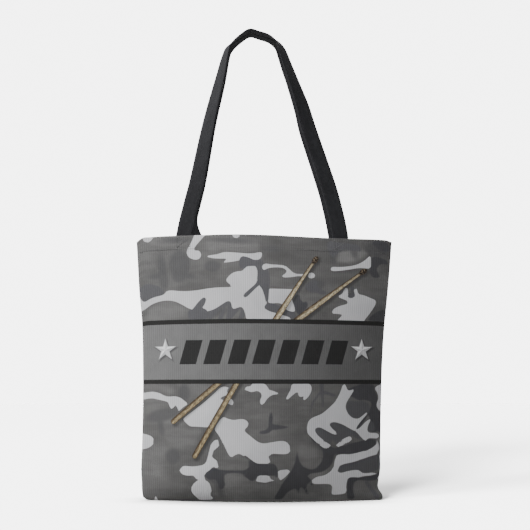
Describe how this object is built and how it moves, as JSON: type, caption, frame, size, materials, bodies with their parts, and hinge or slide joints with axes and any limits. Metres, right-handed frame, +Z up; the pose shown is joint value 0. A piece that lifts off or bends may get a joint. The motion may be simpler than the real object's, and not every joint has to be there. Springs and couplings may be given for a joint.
{
  "type": "tote bag",
  "caption": "Printed cloth tote bag, filled out and standing, with long webbing handles drawn up to a peak over its open mouth.",
  "frame": {"origin": "middle of the bag's footprint, on the surface it stands on", "axes": "+Z up, -Y out of the printed front, +X to the right seen from the front"},
  "size_m": [0.4014, 0.1392, 0.7419],
  "materials": {
    "printed_cloth": "matt woven polyester, printed",
    "webbing": "ribbed black webbing",
    "sewing_thread": "dark grey sewing thread",
    "overlock_thread": "grey overlock thread"
  },
  "bodies": {
    "bag": {"front_panel": "printed_cloth", "back_panel": "printed_cloth", "left_side_seam": "overlock_thread", "right_side_seam": "overlock_thread", "bottom_seam": "overlock_thread", "front_hem_stitching": "sewing_thread", "back_hem_stitching": "sewing_thread", "front_handle_left_end": "webbing", "front_handle_right_end": "webbing", "back_handle_left_end": "webbing", "back_handle_right_end": "webbing", "front_handle_left_stitching": "sewing_thread", "front_handle_right_stitching": "sewing_thread", "back_handle_left_stitching": "sewing_thread", "back_handle_right_stitching": "sewing_thread"},
    "front_handle_loop": {"front_handle": "webbing"},
    "back_handle_loop": {"back_handle": "webbing"}
  },
  "joints": [
    {"name": "front_handle_swing", "type": "hinge", "parent": "bag", "child": "front_handle_loop", "pos_m": [0, -0.0225, 0.4127], "axis": [1, 0, 0], "range_deg": [0, 160]},
    {"name": "back_handle_swing", "type": "hinge", "parent": "bag", "child": "back_handle_loop", "pos_m": [0, 0.0225, 0.4127], "axis": [-1, 0, 0], "range_deg": [0, 160]}
  ]
}
